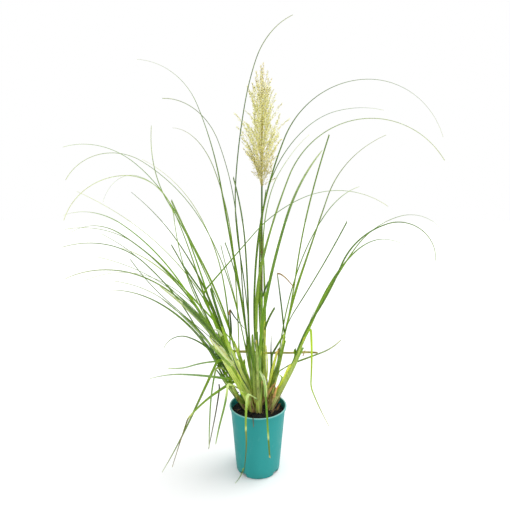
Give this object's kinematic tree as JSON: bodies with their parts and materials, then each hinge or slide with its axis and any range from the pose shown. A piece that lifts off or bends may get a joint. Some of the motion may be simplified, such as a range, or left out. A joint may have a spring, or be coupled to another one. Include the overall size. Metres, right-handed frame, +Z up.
{
  "type": "potted ornamental grass",
  "caption": "Clump of tall ornamental grass with long arching blades and a feathery cream plume on a stalk, growing in a tapered nursery pot.",
  "frame": {"origin": "centre of the underside of the pot, on the surface it stands on", "axes": "+Z up; +X along the clump's widest spread, to the right when the hanging folded blades over the pot's rim are at the front; +Y towards the back, the way the flower stalk leans"},
  "size_m": [1.365, 0.8948, 1.2906],
  "materials": {
    "teal_plastic": "satin moulded polypropylene",
    "compost": "matte, damp and crumbly",
    "sheath": "satin, ribbed leaf sheath",
    "leaf": "satin, finely ribbed leaf",
    "stalk": "satin green stem",
    "plume": "soft matte spikelets",
    "dry_stem": "matte dry stem"
  },
  "bodies": {
    "root": {"centre_blade_1": "leaf", "centre_blade_2": "leaf", "centre_blade_3": "leaf", "centre_blade_4": "leaf", "centre_blade_5": "leaf", "centre_blade_6": "leaf", "centre_left_blade_1": "leaf", "centre_left_blade_2": "leaf", "centre_left_blade_3": "leaf", "centre_left_blade_4": "leaf", "centre_left_blade_5": "leaf", "centre_left_blade_6": "leaf", "centre_left_tiller": "sheath", "centre_tiller": "sheath", "dry_stick": "dry_stem", "flower_stalk": "stalk", "inner_right_blade_1": "leaf", "inner_right_blade_2": "leaf", "inner_right_blade_3": "leaf", "inner_right_blade_4": "leaf", "inner_right_blade_5": "leaf", "inner_right_tiller": "sheath", "left_blade_1": "leaf", "left_blade_2": "leaf", "left_blade_3": "leaf", "left_blade_4": "leaf", "left_blade_5": "leaf", "left_blade_6": "leaf", "left_blade_7": "leaf", "left_tiller": "sheath", "outer_left_blade_1": "leaf", "outer_left_blade_2": "leaf", "outer_left_blade_3": "leaf", "outer_left_blade_4": "leaf", "outer_left_tiller": "sheath", "plume": "plume", "pot": "teal_plastic", "potting_soil": "compost", "rear_blade_1": "leaf", "rear_blade_2": "leaf", "rear_left_blade_1": "leaf", "rear_left_blade_2": "leaf", "rear_left_blade_3": "leaf", "rear_left_blade_4": "leaf", "rear_left_tiller": "sheath", "rear_tiller": "sheath", "right_blade_1": "leaf", "right_blade_2": "leaf", "right_blade_3": "leaf", "right_blade_4": "leaf", "right_tiller": "sheath", "upper_left_blade_1": "leaf", "upper_left_blade_2": "leaf", "upper_left_blade_3": "leaf", "upper_left_blade_4": "leaf", "upper_left_blade_5": "leaf", "upper_left_blade_6": "leaf", "upper_left_blade_7": "leaf", "upper_left_blade_8": "leaf", "upper_left_tiller": "sheath"}
  },
  "joints": []
}
